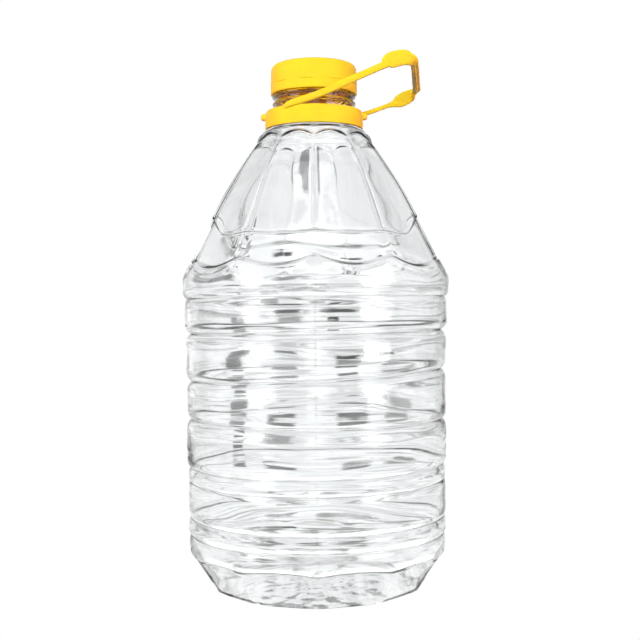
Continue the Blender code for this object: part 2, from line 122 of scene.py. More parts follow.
# waves left by blowing: size, waves round the jug, rise in millimetres, shift
RIPPLES = ((1.0, 3.0, 13.0, 1.0), (0.7, 5.0, -8.3, 1.7), (0.5, 8.0, 5.1, 2.9))
RIPPLE_DEPTH = 0.1
OUTSIDE_PHASE = 0.4
INSIDE_PHASE = 2.2
# they grow outwards from the neck and upwards from the foot, and fade on the widest band
RIPPLE_FROM_R = 32.0
RIPPLE_GROWTH_R = 14.0
RIPPLE_GROWTH_Z = 8.0
RIPPLE_TO_R = 82.4
RIPPLE_FADE_R = 1.2
CRISP_WALL = 32.0               # the wall's edges stay crisp above this angle in degrees


def hollow_at(turn):
    """0 on a ridge between two flutes, 1 in the middle of a flute."""
    return abs(math.sin(PETALS * turn / 2.0))


def shoulder_radius(height):
    """Radius of the shoulder's ridges."""
    share = (SHOULDER_TOP_Z - height) / (SHOULDER_TOP_Z - STEP_Z)
    cone = SHOULDER_TOP_R + (SHOULDER_FOOT_R - SHOULDER_TOP_R) * share
    return cone + 4.0 * SHOULDER_BULGE * share * (1.0 - share)


def climb_at(turn):
    """How far the knee's crease has climbed towards the two sides, 0 to 1."""
    share = max(0.0, (abs(math.sin(turn)) - KNEE_SIDE) / (1.0 - KNEE_SIDE))
    return share * share * (3.0 - 2.0 * share)


def drawn_curve(points, steps):
    """Smooth curve through points, with equal steps between each two."""
    padded = [points[0]] + list(points) + [points[-1]]
    curve = []
    for k in range(1, len(padded) - 2):
        before, start, end, after = padded[k - 1:k + 3]
        gap = math.dist(start, end)
        slope_in = [gap * (e - b) / (math.dist(before, start) + gap) for b, e in zip(before, end)]
        slope_out = [gap * (a - s) / (math.dist(end, after) + gap) for s, a in zip(start, after)]
        for i in range(steps):
            t = i / steps
            curve.append(tuple(
                s * (2 * t ** 3 - 3 * t ** 2 + 1) + si * (t ** 3 - 2 * t ** 2 + t)
                + e * (3 * t ** 2 - 2 * t ** 3) + so * (t ** 3 - t ** 2)
                for s, e, si, so in zip(start, end, slope_in, slope_out)))
    curve.append(tuple(points[-1]))
    return curve


def neck_outline(turn):
    """Neck from its mouth to the seat of the collar, with the thread, bead and support ring."""
    outline = [(BORE_R, MOUTH_Z - 0.4), (BORE_R + 0.4, MOUTH_Z), (THREAD_ROOT_R - 0.6, MOUTH_Z),
               (THREAD_ROOT_R - 0.15, MOUTH_Z - 0.2), (THREAD_ROOT_R, MOUTH_Z - 0.7)]
    rows = 28
    for i in range(rows + 1):
        height = THREAD_TOP_Z + (THREAD_BOTTOM_Z - THREAD_TOP_Z) * i / rows
        travel = (THREAD_TOP_Z - height) / THREAD_PITCH - turn / (2.0 * math.pi)
        ridge = max(0.0, math.cos(2.0 * math.pi * travel)) ** 0.8
        ends = min(THREAD_TOP_Z - height, height - THREAD_BOTTOM_Z)
        fade = max(0.0, min(1.0, ends / THREAD_FADE))
        outline.append((THREAD_ROOT_R + (THREAD_CREST_R - THREAD_ROOT_R) * ridge * fade, height))
    for middle, upper_r in ((BEAD_Z, THREAD_ROOT_R), (SUPPORT_Z, NECK_R)):
        outline += [(upper_r, middle + 1.6), (upper_r + 0.5, middle + 1.0),
                    (RING_R - 0.3, middle + 0.7), (RING_R, middle + 0.35),
                    (RING_R, middle - 0.35), (RING_R - 0.3, middle - 0.7),
                    (NECK_R + 0.4, middle - 1.0), (NECK_R, middle - 1.6)]
    outline += [(NECK_R, 294.0), (NECK_R, 290.5), (NECK_R + 0.5, 288.6), (NECK_R + 2.0, 286.2),
                (28.6, SEAT_Z)]
    return outline


def shoulder_outline(turn):
    """Fluted shoulder from the seat of the collar down to the scalloped step."""
    hollow = hollow_at(turn)
    rise = FLUTE_TOP_RISE * hollow
    cove_z = FLUTE_TOP_Z + COVE_RISE
    knee_z = KNEE_Z + KNEE_LIFT * climb_at(turn) - KNEE_DROP * hollow
    above, below = knee_z + KNEE_HALF, knee_z - KNEE_HALF
    step_z = STEP_Z - STEP_DROP * hollow
    top = [(COLLAR_SEAT_R, SEAT_Z - 0.4), (SHOULDER_TOP_R, SHOULDER_TOP_Z)]
    cove = [top[-1],
            (shoulder_radius(cove_z) - COVE_DEPTH * hollow, cove_z + rise),
            (shoulder_radius(FLUTE_TOP_Z) - FLUTE_TOP_DEPTH * hollow, FLUTE_TOP_Z - 0.4 + rise)]
    flute = [cove[-1]]
    for height, drop in FLUTE_LINES:
        flute.append((shoulder_radius(height) - FLUTE_DEPTH * hollow, height - drop * hollow))
    flute.append((shoulder_radius(above) - KNEE_DEPTH * hollow, above))
    crease = [flute[-1], (shoulder_radius(below) - KNEE_NOTCH - KNEE_LOW_DEPTH * hollow, below)]
    skirt = [crease[-1],
             (shoulder_radius(SKIRT_Z) - SKIRT_DEPTH * hollow, SKIRT_Z - SKIRT_DROP * hollow),
             (SHOULDER_FOOT_R - SKIRT_DEPTH * hollow, step_z + 1.5),
             (SHOULDER_FOOT_R - 1.2 * hollow, step_z + 1.1)]
    return (top + drawn_curve(cove, 5)[1:] + drawn_curve(flute, 12)[1:]
            + drawn_curve(crease, 3)[1:] + drawn_curve(skirt, 8)[1:])


def body_outline(turn):
    """Ringed body from the scalloped step to the crease above the heel."""
    hollow = hollow_at(turn)
    lean = math.sin(turn)
    edges = [(STEP_R, STEP_Z - STEP_DROP * hollow, STEP_REACH)]
    edges += [(radius, height + slant * lean, reach) for height, radius, slant, reach in GROOVES]
    edges.append((CREASE_R, CREASE_Z + CREASE_RISE * hollow, STEP_REACH))
    outline = [edges[0][:2]]
    rows = 15
    for (top_r, top_z, over), (low_r, low_z, under), band in zip(edges, edges[1:], BAND_R):
        for i in range(1, rows + 1):
            share = 0.5 - 0.5 * math.cos(math.pi * i / rows)
            height = top_z + (low_z - top_z) * share
            above = max(0.0, 1.0 - (top_z - height) / over) ** BAND_TURN
            below = max(0.0, 1.0 - (height - low_z) / under) ** BAND_TURN
            outline.append((band - (band - top_r) * above - (band - low_r) * below, height))
    return outline


def heel_outline(turn):
    """Fluted heel, the foot's flat ring and the pushed-up bottom."""
    hollow = hollow_at(turn)
    outline = [(CREASE_R - 0.1, CREASE_Z - 0.15 + CREASE_RISE * hollow),
               (CREASE_R - 0.75, CREASE_Z - 0.45 + CREASE_RISE * hollow)]
    rows = 14
    for i in range(1, rows + 1):
        share = i / rows
        height = CREASE_Z + (HEEL_FOOT_Z - CREASE_Z) * share
        radius = HEEL_R + (CREASE_R - HEEL_R) * (height / CREASE_Z) ** 0.95 - 0.2
        depth = BASE_FLUTE_DEPTH * math.sin(math.pi / 2.0 * min(share * 1.8, 1.0))
        outline.append((radius - depth * hollow, height + CREASE_RISE * (1.0 - share) * hollow))
    outline += [(FOOT_EDGE_R - 2.0 * hollow, 0.25), (FOOT_OUTER_R - 1.6 * hollow, 0.0),
                (FOOT_INNER_R - 1.0 * hollow, 0.0), (FOOT_INNER_R - 0.8 - 1.0 * hollow, 0.35)]
    rows = 12
    for i in range(1, rows):
        share = i / rows
        rise = PUSH_UP * math.sin(math.pi / 2.0 * share)
        outline.append(((FOOT_INNER_R - 1.0) * (1.0 - share) - (1.0 - share) * hollow,
                        rise + BOTTOM_Z))
    return outline


def inner_wall(skin):
    """Inside of the wall: the outside smoothed, and moved in by the wall's thickness."""
    soft = skin.copy()
    for _ in range(2):
        soft[:, 1:-1] = 0.25 * soft[:, :-2] + 0.5 * soft[:, 1:-1] + 0.25 * soft[:, 2:]
    soft = 0.25 * np.roll(soft, 1, 0) + 0.5 * soft + 0.25 * np.roll(soft, -1, 0)
    along = soft[:, 2:] - soft[:, :-2]
    along /= np.linalg.norm(along, axis=2)[:, :, None]
    climb = np.clip((soft[:, 1:-1, 1:] - THICKER_Z) / THICKER_RISE, 0.0, 1.0)
    inward = np.stack([along[:, :, 1], -along[:, :, 0]], axis=2)
    return soft[:, 1:-1] + (WALL + THICKER * climb) * inward


def ripple(turn, height, phase):
    """Faint waves that blowing leaves in the wall."""
    return RIPPLE_DEPTH * sum(size * math.sin(lobes * turn + height / rise + shift * phase)
                              for size, lobes, rise, shift in RIPPLES)


def add_ripple(side, turns, phase):
    """Ripple on one side of the wall."""
    for column, turn in zip(side, turns):
        radius, height = column[:, 0], column[:, 1]
        fade = (np.clip((radius - RIPPLE_FROM_R) / RIPPLE_GROWTH_R, 0.0, 1.0)
                * np.clip(height / RIPPLE_GROWTH_Z, 0.0, 1.0)
                * np.clip((RIPPLE_TO_R - radius) / RIPPLE_FADE_R, 0.0, 1.0))
        column[:, 0] += fade * [ripple(turn, z, phase) for z in height]


def point_at(turn, radius, height):
    """Place in metres, from an angle round the jug, a radius and a height."""
    return radius * math.sin(turn) * MM, -radius * math.cos(turn) * MM, height * MM


def finished_mesh(name, build, crisp):
    """Mesh of a build, smooth but for the edges above the crisp angle in degrees."""
    bmesh.ops.recalc_face_normals(build, faces=build.faces)
    mesh = bpy.data.meshes.new(name)
    build.to_mesh(mesh)
    build.free()
    mesh.shade_smooth()
    mesh.set_sharp_from_angle(angle=math.radians(crisp))
    return mesh


def bottle_mesh():
    """The wall: outside from the mouth to the bottom's middle, and back up inside."""
    turns = [2.0 * math.pi * i / TURNS for i in range(TURNS)]
    neck = np.array([neck_outline(turn) for turn in turns])
    skin = np.array([shoulder_outline(turn) + body_outline(turn) + heel_outline(turn)
                     for turn in turns])
    inner = inner_wall(skin)
    add_ripple(skin, turns, OUTSIDE_PHASE)
    add_ripple(inner, turns, INSIDE_PHASE)
    throat = np.array([THROAT] * TURNS)
    wall = np.concatenate([neck, skin, inner[:, ::-1], throat], axis=1)
    build = bmesh.new()
    rings = [[build.verts.new(point_at(turn, radius, height))
              for turn, (radius, height) in zip(turns, wall[:, level])]
             for level in range(wall.shape[1])]
    last_outside = neck.shape[1] + skin.shape[1] - 1
    for level, ring in enumerate(rings):
        if level == last_outside:
            continue
        below = rings[(level + 1) % len(rings)]
        for i in range(TURNS):
            j = (i + 1) % TURNS
            build.faces.new((ring[i], below[i], below[j], ring[j]))
    for ring, height in ((rings[last_outside], PUSH_UP + BOTTOM_Z),
                         (rings[last_outside + 1], PUSH_UP + BOTTOM_INSIDE_Z)):
        middle = build.verts.new((0.0, 0.0, height * MM))
        for i in range(TURNS):
            build.faces.new((ring[i], ring[(i + 1) % TURNS], middle))
    return finished_mesh("blown_bottle", build, CRISP_WALL)


# colours of the wall, and of the neck's outside, where amber is painted on as a reflection of the
# yellow cap and collar and as shade under the cap
CLEAR = (0.955, 0.965, 0.968, 1.0)
# painted reflection and shade: amber on the neck's outside for the yellow cap and collar
PAINTED_AMBER_REFLECTION = (0.93, 0.24, 0.0, 1.0)
PAINTED_AMBER_Z = (294.5, 298.0)        # where that begins and where it is full
PAINTED_AMBER_R = BORE_R + 1.0          # between the bore and the outside
PET_IOR = 1.57
HAZE_PER_M = 60.0
HAZE_SPOTS = (0.35, 0.75)       # part of the spots' scale that the haze goes with
HAZE = (0.015, 0.06)            # roughness of the clearest and of the haziest spots
WAVES_PER_M = 45.0
WAVES_STRENGTH = 0.35
WAVES_RELIEF = 0.4
LEVEL_WAVES_PER_M = (14.0, 14.0, 210.0)
LEVEL_RELIEF = 0.35
# strength of the level waves and of the parting line, by the height in metres
WAVINESS = ((0.05, 0.12), (0.074, 0.16), (0.085, 0.3), (0.172, 0.3), (0.182, 0.07))
PARTING_HALF = 0.7              # half the width of the mould's parting line
PARTING_RELIEF = 0.6


def added(tree, kind, inputs, **settings):
    """New node; each input is a value, or another node's output."""
    step = tree.nodes.new(kind)
    for name, setting in settings.items():
        setattr(step, name, setting)
    for socket, value in inputs.items():
        if isinstance(value, bpy.types.NodeSocket):
            tree.links.new(value, step.inputs[socket])
        else:
            step.inputs[socket].default_value = value
    return step


def worked_out(tree, operation, *values, **settings):
    """Output of one arithmetic node; each value is a number or another node's output."""
    return added(tree, "ShaderNodeMath", dict(enumerate(values)), operation=operation,
                 **settings).outputs["Value"]


def moved_range(tree, value, low, high, first=0.0, last=1.0, **settings):
    """Value that goes from first to last while the given one goes from low to high."""
    reach = {"Value": value, "From Min": low, "From Max": high, "To Min": first, "To Max": last}
    return added(tree, "ShaderNodeMapRange", reach, **settings).outputs["Result"]


def spots(tree, place, scale, detail, **more):
    """Soft random spots, about as many to the metre as the scale says."""
    inputs = {"Vector": place, "Scale": scale, "Detail": detail} | more
    return added(tree, "ShaderNodeTexNoise", inputs).outputs["Fac"]


def raised(tree, height, strength, relief, **under):
    """Normal of a surface with a relief in millimetres."""
    inputs = {"Height": height, "Strength": strength, "Distance": relief * MM} | under
    return added(tree, "ShaderNodeBump", inputs).outputs["Normal"]


def ramped(tree, value, stops):
    """Colour read from stops of (value from 0 to 1, colour)."""
    ramp = added(tree, "ShaderNodeValToRGB", {"Fac": value})
    marks = ramp.color_ramp.elements
    while len(marks) < len(stops):
        marks.new(0.5)
    for mark, (place, colour) in zip(marks, stops):
        mark.position = place
        mark.color = colour
    return ramp.outputs["Color"]


def greys(stops):
    """Stops of (value, grey) as stops of (value, colour)."""
    return [(place, (grey, grey, grey, 1.0)) for place, grey in stops]


def coordinates(tree, kind):
    """Place on the piece, with its X, Y and Z."""
    place = tree.nodes.new("ShaderNodeTexCoord").outputs[kind]
    split = added(tree, "ShaderNodeSeparateXYZ", {"Vector": place})
    return place, *(split.outputs[axis] for axis in "XYZ")


def painted_neck_reflection(tree, place, height):
    """Nearly clear, with amber painted on the outside of the neck where rays enter it: a painted
    reflection of the yellow cap and collar, and painted shade under the cap.
    """
    flat = added(tree, "ShaderNodeVectorMath", {0: place, 1: (1.0, 1.0, 0.0)},
                 operation="MULTIPLY").outputs["Vector"]
    reach = added(tree, "ShaderNodeVectorMath", {0: flat}, operation="LENGTH").outputs["Value"]
    outside = worked_out(tree, "GREATER_THAN", reach, PAINTED_AMBER_R * MM)
    leaving = tree.nodes.new("ShaderNodeNewGeometry").outputs["Backfacing"]
    painted_outer_faces = worked_out(tree, "SUBTRACT", outside, leaving, use_clamp=True)
    rise = moved_range(tree, height, *(z * MM for z in PAINTED_AMBER_Z))
    share = worked_out(tree, "MULTIPLY", rise, painted_outer_faces)
    return ramped(tree, share, ((0.0, CLEAR), (1.0, PAINTED_AMBER_REFLECTION)))


def wall_relief(tree, place, x, height):
    """Fine waves in all directions, level waves, and the parting line at the front and back."""
    waves = raised(tree, spots(tree, place, WAVES_PER_M, 2.0), WAVES_STRENGTH, WAVES_RELIEF)
    strength = ramped(tree, height, greys(WAVINESS))
    stretch = added(tree, "ShaderNodeMapping", {"Vector": place, "Scale": LEVEL_WAVES_PER_M})
    level_waves = spots(tree, stretch.outputs["Vector"], 1.0, 2.0)
    waves = raised(tree, level_waves, strength, LEVEL_RELIEF, Normal=waves)
    line = moved_range(tree, worked_out(tree, "ABSOLUTE", x), 0.0, PARTING_HALF * MM, 1.0, 0.0,
                       interpolation_type="SMOOTHSTEP")
    return raised(tree, line, strength, PARTING_RELIEF, Normal=waves)


def shaded_material(name):
    """Material with its shader, ready for a finish."""
    made = bpy.data.materials.new(name)
    made.use_nodes = True
    return made, made.node_tree, made.node_tree.nodes["Principled BSDF"].inputs


def clear_pet():
    """Glassy colourless PET with a trace of haze and fine blowing waves, and amber painted on the
    neck's outside as a reflection of the yellow cap and collar and as shade under the cap.
    """
    made, tree, shader = shaded_material("clear_pet")
    shader["Transmission Weight"].default_value = 1.0
    shader["IOR"].default_value = PET_IOR
    place, x, _, height = coordinates(tree, "Object")
    haze = moved_range(tree, spots(tree, place, HAZE_PER_M, 3.0), *HAZE_SPOTS, *HAZE)
    # base colour carries the painted amber reflection and shade on the neck
    tree.links.new(painted_neck_reflection(tree, place, height), shader["Base Color"])
    tree.links.new(haze, shader["Roughness"])
    tree.links.new(wall_relief(tree, place, x, height), shader["Normal"])
    return made


def placed_piece(name, mesh, material):
    """Piece of one mesh in one material, put into the scene."""
    piece = bpy.data.objects.new(name, mesh)
    bpy.context.scene.collection.objects.link(piece)
    piece.data.materials.append(material)
    return piece


bottle = placed_piece("blown_bottle", bottle_mesh(), clear_pet())
bottle.visible_shadow = False
bottle.visible_diffuse = False
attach(bottle, "root")
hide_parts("bottle")

# ---- carrying handle ------------------------------------------------------------------------
# One moulding in yellow polyethylene: a collar pressed down over the neck's support ring, and a
# strap that leaves it on both sides, widens into two finger pads and runs across as the grip. The
# strap is bent over to the right. Two lugs stand on the collar's sides.

YELLOW = (0.88, 0.71, 0.022, 1.0)
DEEPER_YELLOW = (YELLOW[0] * 0.96, YELLOW[1] * 0.93, YELLOW[2], 1.0)
SOAK = 0.15                     # share of light that soaks in, and how far by colour in metres
SOAK_REACH = (0.003, 0.0012, 0.0003)
SHINE = 0.35
SHEEN_SPREAD = 0.06             # of the roughness, from spot to spot
MOTTLE_PER_M = 90.0
GRAIN_PER_M = 900.0
GRAIN_STRENGTH = 0.25
GRAIN_RELIEF = 0.1

COLLAR_R = 30.7
COLLAR_FOOT_Z = 284.5
COLLAR_TOP_Z = 295.8
COLLAR_HOLE_R = 25.0
COLLAR_ROOF = 2.0
COLLAR_INNER_R = 28.9
COLLAR_TURNS = 128              # columns of its skin
LUG_ROOT_R = COLLAR_R - 1.2
LUG_REACH = 33.4
LUG_Z = 292.8
LUG_WIDTH = 5.2
LUG_HEIGHT = 4.4
# stations along a lug: share of its length, size
LUG_STATIONS = ((0.0, 1.3), (0.35, 1.0), (0.7, 0.96), (0.88, 0.84), (1.0, 0.5))

# stations of the strap: place, direction across its flat face, width, thickness
STRAP = (
    ((-17.8, -23.6, 294.6), (0.0, 0.0, 1.0), 2.8, 2.6),
    ((-14.6, -26.4, 296.2), (0.0, 0.0, 1.0), 3.8, 3.0),
    ((-8.0, -28.7, 297.9), (-0.3, 0.0, 1.0), 4.2, 3.0),
    ((0.0, -29.7, 300.3), (-0.4, 0.0, 0.9), 4.2, 2.8),
    ((10.0, -29.8, 304.2), (-0.4, 0.0, 0.9), 4.2, 2.7),
    ((23.3, -29.6, 310.2), (-0.4, 0.0, 0.9), 4.2, 2.6),
    ((38.0, -29.2, 316.6), (-0.4, 0.0, 0.9), 4.2, 2.5),
    ((42.8, -29.2, 318.8), (-0.2, 0.0, 1.0), 4.9, 2.4),
    ((44.4, -29.2, 320.2), (-0.05, 0.0, 1.0), 8.2, 2.3),
    ((47.2, -29.2, 321.5), (0.0, 0.0, 1.0), 9.8, 2.4),
    ((52.2, -29.2, 322.7), (0.0, 0.0, 1.0), 9.6, 2.4),
    ((55.6, -29.0, 322.9), (0.1, 0.0, 1.0), 9.2, 2.5),
    ((57.4, -28.6, 322.3), (0.2, 0.0, 1.0), 8.0, 2.6),
    ((59.9, -27.0, 321.5), (0.5, -0.3, 0.8), 6.8, 2.8),
    ((61.4, -22.4, 320.5), (1.0, -0.1, 0.1), 5.0, 2.9),
    ((63.1, -10.0, 318.6), (1.0, 0.0, 0.0), 4.8, 2.9),
    ((64.2, 0.0, 317.1), (1.0, 0.0, 0.0), 4.8, 2.9),
    ((65.3, 10.0, 315.7), (1.0, 0.0, 0.0), 4.9, 2.9),
    ((66.6, 21.4, 314.4), (1.0, 0.1, 0.1), 5.2, 2.9),
    ((66.2, 26.4, 313.5), (0.6, 0.4, 0.7), 6.2, 2.9),
    ((63.4, 29.0, 311.9), (-0.3, 0.0, 0.9), 7.9, 2.7),
    ((59.4, 29.4, 309.9), (-0.4, 0.0, 0.9), 8.9, 2.4),
    ((55.6, 29.4, 308.0), (-0.4, 0.0, 0.9), 8.0, 2.4),
    ((52.0, 29.4, 306.4), (-0.4, 0.0, 0.9), 4.4, 2.4),
    ((48.6, 29.4, 305.4), (-0.4, 0.0, 0.9), 2.9, 2.4),
    ((35.3, 29.9, 300.9), (-0.3, 0.0, 1.0), 2.9, 2.4),
    ((18.0, 30.3, 296.2), (-0.2, 0.0, 1.0), 3.2, 2.4),
    ((0.0, 29.6, 293.8), (0.0, 0.0, 1.0), 3.6, 2.6),
    ((-14.2, 26.4, 292.8), (0.0, 0.0, 1.0), 3.2, 2.4),
)
# stations of the stiffening rib under the grip: place, width
RIB = (
    ((61.2, -25.0, 320.4), 0.6), ((61.5, -21.0, 318.8), 1.6), ((62.8, -12.0, 317.4), 1.7),
    ((64.2, 0.0, 315.6), 1.7), ((65.5, 12.0, 314.0), 1.7), ((66.4, 20.0, 313.0), 1.6),
    ((66.4, 24.4, 313.4), 0.6),
)
RIB_HEIGHT = 2.8
STRAP_STEPS = 7                 # from station to station
SECTION_POINTS = 24             # round a bar
STRAP_ROUNDNESS = 0.55          # 1 for an ellipse, less for a squarer section
RIB_ROUNDNESS = 0.7             # of the rib and of the lugs
CRISP_YELLOW = 40.0             # the yellow pieces' edges stay crisp above this angle in degrees


def turned_shell(build, outline, count, closed):
    """Skin turned from an outline of (radius, height) points, or one function of the angle."""
    columns = []
    for i in range(count):
        turn = 2.0 * math.pi * i / count
        points = outline(turn) if callable(outline) else outline
        columns.append([build.verts.new(point_at(turn, *point)) for point in points])
    levels = len(columns[0])
    for i in range(count):
        left, right = columns[i], columns[(i + 1) % count]
        for k in range(levels if closed else levels - 1):
            below = (k + 1) % levels
            build.faces.new((left[k], left[below], right[below], right[k]))
    if not closed:
        build.faces.new([column[0] for column in columns])
        build.faces.new([column[-1] for column in columns])


def swept_bar(build, stations, roundness):
    """Solid bar of rounded section through stations of (place, across, width, thickness)."""
    rings = []
    for k, (place, across, width, thick) in enumerate(stations):
        before = stations[max(k - 1, 0)][0]
        after = stations[min(k + 1, len(stations) - 1)][0]
        along = (after - before).normalized()
        across = (across - along * across.dot(along)).normalized()
        out = along.cross(across)
        ring = []
        for i in range(SECTION_POINTS):
            bend = 2.0 * math.pi * i / SECTION_POINTS
            c, s = math.cos(bend), math.sin(bend)
            a = math.copysign(abs(c) ** roundness, c) * width / 2.0
            b = math.copysign(abs(s) ** roundness, s) * thick / 2.0
            ring.append(build.verts.new((place + across * a + out * b) * MM))
        rings.append(ring)
    for upper, lower in zip(rings, rings[1:]):
        for i in range(SECTION_POINTS):
            j = (i + 1) % SECTION_POINTS
            build.faces.new((upper[i], lower[i], lower[j], upper[j]))
    build.faces.new(rings[0])
    build.faces.new(rings[-1])


def rounded_corner(radius, height, size, start):
    """Quarter round of an outline: a corner of this size, starting at an angle in degrees."""
    turns = [math.radians(start + 90.0 * i / 4) for i in range(5)]
    return [(radius + size * math.cos(turn), height + size * math.sin(turn)) for turn in turns]


def collar_outline():
    """Section of the collar, from the foot of its skirt over the lip and the roof to its inside."""
    lip_r = COLLAR_R - 0.6
    lip_z = COLLAR_TOP_Z - 2.3
    roof_z = COLLAR_TOP_Z - COLLAR_ROOF
    outline = [(COLLAR_R - 0.5, COLLAR_FOOT_Z), (COLLAR_R - 0.1, COLLAR_FOOT_Z + 0.2),
               (COLLAR_R, COLLAR_FOOT_Z + 0.6), (COLLAR_R, 288.0), (COLLAR_R, lip_z - 0.6),
               (COLLAR_R - 0.1, lip_z - 0.2), (COLLAR_R - 0.35, lip_z),
               (lip_r - 0.05, lip_z + 0.15), (lip_r, lip_z + 0.5)]
    outline += rounded_corner(lip_r - 0.7, COLLAR_TOP_Z - 0.7, 0.7, 0.0)
    outline += rounded_corner(COLLAR_HOLE_R + 0.4, COLLAR_TOP_Z - 0.4, 0.4, 90.0)
    outline += [(COLLAR_HOLE_R, roof_z + 0.4), (COLLAR_HOLE_R + 0.4, roof_z),
                (COLLAR_INNER_R - 0.5, roof_z), (COLLAR_INNER_R, roof_z - 0.5),
                (COLLAR_INNER_R, COLLAR_FOOT_Z + 0.4),
                (COLLAR_INNER_R + 0.3, COLLAR_FOOT_Z)]
    return outline


def handle_mesh():
    """Collar, strap, rib and lugs."""
    build = bmesh.new()
    turned_shell(build, collar_outline(), COLLAR_TURNS, closed=True)
    keys = [tuple(place) + tuple(across) + (width, thick) for place, across, width, thick in STRAP]
    stations = [(Vector(station[:3]), Vector(station[3:6]), station[6], station[7])
                for station in drawn_curve(keys, STRAP_STEPS)]
    swept_bar(build, stations, STRAP_ROUNDNESS)
    rib = [(Vector(place), Vector((1.0, 0.0, 0.0)), width, RIB_HEIGHT) for place, width in RIB]
    swept_bar(build, rib, RIB_ROUNDNESS)
    for side in (-1.0, 1.0):
        start, end = LUG_ROOT_R * side, LUG_REACH * side
        lug = []
        for share, size in LUG_STATIONS:
            place = Vector((start + (end - start) * share, 0.0, LUG_Z))
            lug.append((place, Vector((0.0, 1.0, 0.0)), LUG_WIDTH * size, LUG_HEIGHT * size))
        swept_bar(build, lug, RIB_ROUNDNESS)
    return finished_mesh("carrying_handle", build, CRISP_YELLOW)


def yellow_plastic(name, sheen):
    """Opaque satin polyethylene, faintly mottled and grained."""
    made, tree, shader = shaded_material(name)
    shader["Subsurface Weight"].default_value = SOAK
    shader["Subsurface Radius"].default_value = SOAK_REACH
    shader["Specular IOR Level"].default_value = SHINE
    place = tree.nodes.new("ShaderNodeTexCoord").outputs["Object"]
    mottle = spots(tree, place, MOTTLE_PER_M, 4.0)
    tone = ramped(tree, mottle, ((0.35, DEEPER_YELLOW), (0.65, YELLOW)))
    gloss = moved_range(tree, mottle, 0.0, 1.0, sheen - SHEEN_SPREAD, sheen + SHEEN_SPREAD)
    grain = raised(tree, spots(tree, place, GRAIN_PER_M, 2.0), GRAIN_STRENGTH, GRAIN_RELIEF)
    tree.links.new(tone, shader["Base Color"])
    tree.links.new(gloss, shader["Roughness"])
    tree.links.new(grain, shader["Normal"])
    return made


handle = placed_piece("carrying_handle", handle_mesh(), yellow_plastic("handle_yellow", 0.5))
handle.visible_transmission = False
handle.visible_glossy = False
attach(handle, "root")
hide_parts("handle")

# ---- screw cap ------------------------------------------------------------------------------
# Yellow polyethylene cap screwed down on the neck. Its lower band hangs on short bridges between
# the slits, and breaks off when the jug is first opened.

CAP_R = 27.1
CAP_TOP_Z = 325.2
CAP_FOOT_Z = 306.3
CAP_EDGE = 3.6                  # rounding between the roof and the skirt
CAP_WALL = 1.4
CAP_ROOF = 2.9
CAP_TURNS = 200
SLIT_Z = 311.9
SLITS = 9
SLIT_SHARE = 0.42               # of the way from slit to slit; the rest is bridge
SLIT_START = 0.44
SLIT_DEPTH = 0.6
BRIDGE_DEPTH = 0.03


def cap_outline(turn):
    """Section of the cap at an angle: roof, rounded edge, skirt with a slit or a bridge, inside."""
    place = (turn / (2.0 * math.pi) * SLITS + SLIT_START) % 1.0
    cut = SLIT_DEPTH if place < SLIT_SHARE else BRIDGE_DEPTH
    outline = [(share * (CAP_R - CAP_EDGE), CAP_TOP_Z - 0.25 * share * share)
               for share in (0.02, 0.3, 0.6, 0.85)]
    for i in range(9):
        bend = math.pi / 2.0 * i / 8
        outline.append((CAP_R - 0.35 - CAP_EDGE * (1.0 - math.sin(bend)),
                        CAP_TOP_Z - 0.3 - CAP_EDGE * (1.0 - math.cos(bend))))
    outline += [(CAP_R - 0.1, 316.0), (CAP_R - 0.02, SLIT_Z + 0.6), (CAP_R - 0.05, SLIT_Z + 0.3),
                (CAP_R - cut, SLIT_Z + 0.22), (CAP_R - cut, SLIT_Z - 0.22),
                (CAP_R - 0.05, SLIT_Z - 0.3), (CAP_R, SLIT_Z - 0.6), (CAP_R, CAP_FOOT_Z + 0.7),
                (CAP_R - 0.1, CAP_FOOT_Z + 0.25), (CAP_R - 0.4, CAP_FOOT_Z),
                (CAP_R - CAP_WALL + 0.3, CAP_FOOT_Z), (CAP_R - CAP_WALL, CAP_FOOT_Z + 0.3),
                (CAP_R - CAP_WALL, CAP_TOP_Z - CAP_ROOF - 1.0),
                (CAP_R - CAP_WALL - 1.0, CAP_TOP_Z - CAP_ROOF), (0.02, CAP_TOP_Z - CAP_ROOF)]
    return outline


shape = bmesh.new()
turned_shell(shape, cap_outline, CAP_TURNS, closed=False)
cap = placed_piece("screw_cap", finished_mesh("screw_cap", shape, CRISP_YELLOW),
                   yellow_plastic("cap_yellow", 0.48))
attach(cap, "root")
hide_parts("cap")

# ---- studio ---------------------------------------------------------------------------------
# A plain white floor in white surroundings. The clear wall mirrors and bends a tent of bright and
# dim panels, a streaky sheet under it, and dim cards, which only its glassy rays can see. Lamps
# light the yellow plastic.

TENT_R = 1.6                     # in metres, as the next three
TENT_FOOT_Z = -0.02
SHEET_R = TENT_R + 0.1
FLOOR_R = 30.0
SHEET_Z = -0.2                   # in millimetres, as the next one
FLOOR_Z = -0.4
# panels of the tent: angle from the camera's side in degrees, brightness
PANELS = (
    (-180, 0.0), (-150, 0.0), (-138, 0.85), (-120, 0.25), (-104, 0.4), (-96, 1.3), (-80, 1.3),
    (-72, 0.1), (-66, 0.1), (-62, 5.5), (-44, 5.5), (-39, 0.06), (-16, 0.06), (-10, 2.4),
    (10, 2.4), (16, 0.06), (40, 0.06), (44, 5.5), (59, 5.5), (64, 0.05), (72, 0.05), (80, 1.3),
    (96, 1.3), (104, 0.4), (122, 0.15), (138, 0.7), (150, 0.0), (180, 0.0),
)
RAGGED = 13.0                    # the panels' edges wander by this angle in degrees
# how much of the panels' brightness is left, out of 8, by the height over the tent's radius
LEVELS = ((0.0, 8.0), (0.11, 8.0), (0.17, 5.0), (0.4, 5.0), (0.52, 1.2), (0.62, 0.5), (1.0, 0.5))
# light all round the upper tent, by the same height
UPPER_LIGHT = ((0.0, 0.0), (0.36, 0.0), (0.46, 0.45), (1.0, 0.33))
